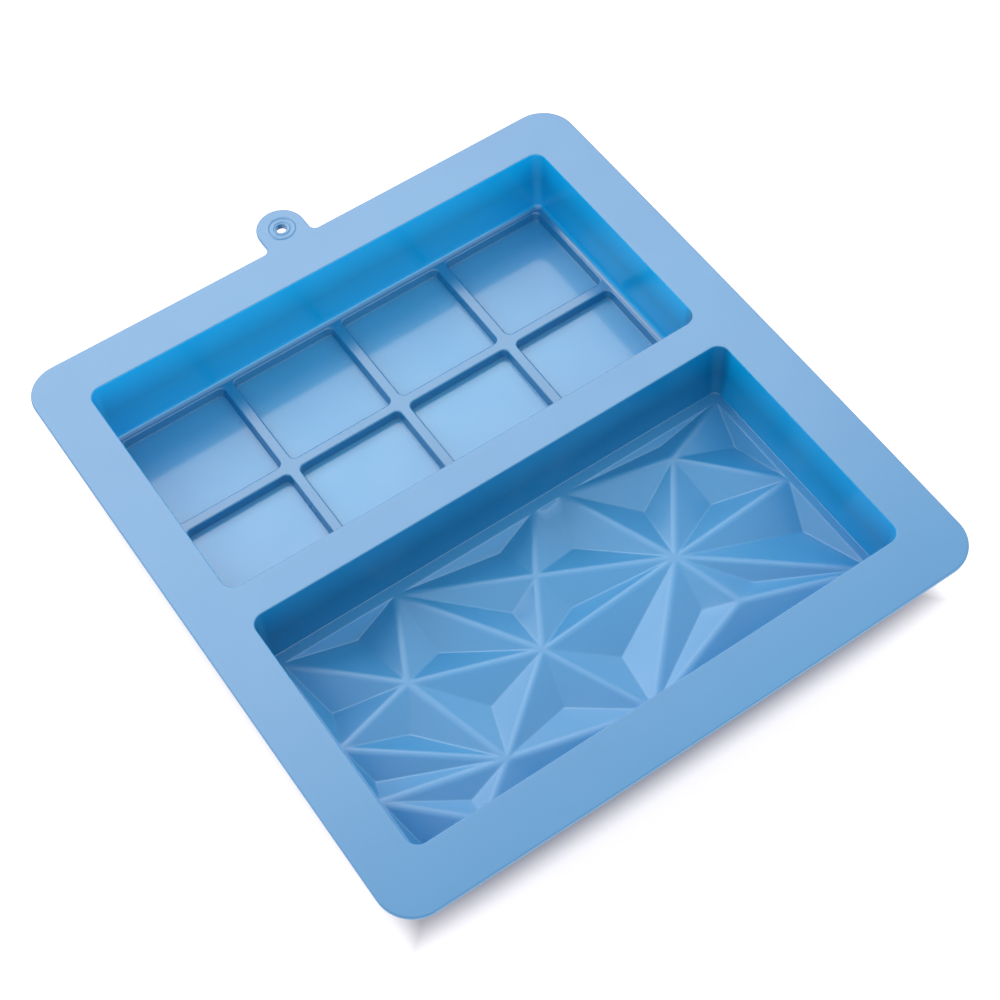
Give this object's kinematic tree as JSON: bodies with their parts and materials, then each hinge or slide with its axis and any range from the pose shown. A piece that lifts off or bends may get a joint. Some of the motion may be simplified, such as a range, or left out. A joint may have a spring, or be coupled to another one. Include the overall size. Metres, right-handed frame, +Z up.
{
  "type": "silicone soap mould",
  "caption": "Flexible one-piece mould with two rectangular bar cavities, one floored with square cells and one with facets, a flat rim and a hanging tab.",
  "frame": {"origin": "on the table under the centre of the whole outline, hanging tab included", "axes": "+X along the bars, +Y towards the hanging tab, +Z up out of the cavities"},
  "size_m": [0.2, 0.231, 0.0304],
  "materials": {
    "blue_silicone": "glossy translucent-looking blue silicone"
  },
  "bodies": {
    "root": {"rim_flange": "blue_silicone", "hanging_tab": "blue_silicone", "grid_cavity_wall": "blue_silicone", "grid_cavity_ribs": "blue_silicone", "grid_cell_floor_1": "blue_silicone", "grid_cell_floor_2": "blue_silicone", "grid_cell_floor_3": "blue_silicone", "grid_cell_floor_4": "blue_silicone", "grid_cell_floor_5": "blue_silicone", "grid_cell_floor_6": "blue_silicone", "grid_cell_floor_7": "blue_silicone", "grid_cell_floor_8": "blue_silicone", "facet_cavity_wall": "blue_silicone", "facet_cavity_floor": "blue_silicone"}
  },
  "joints": []
}
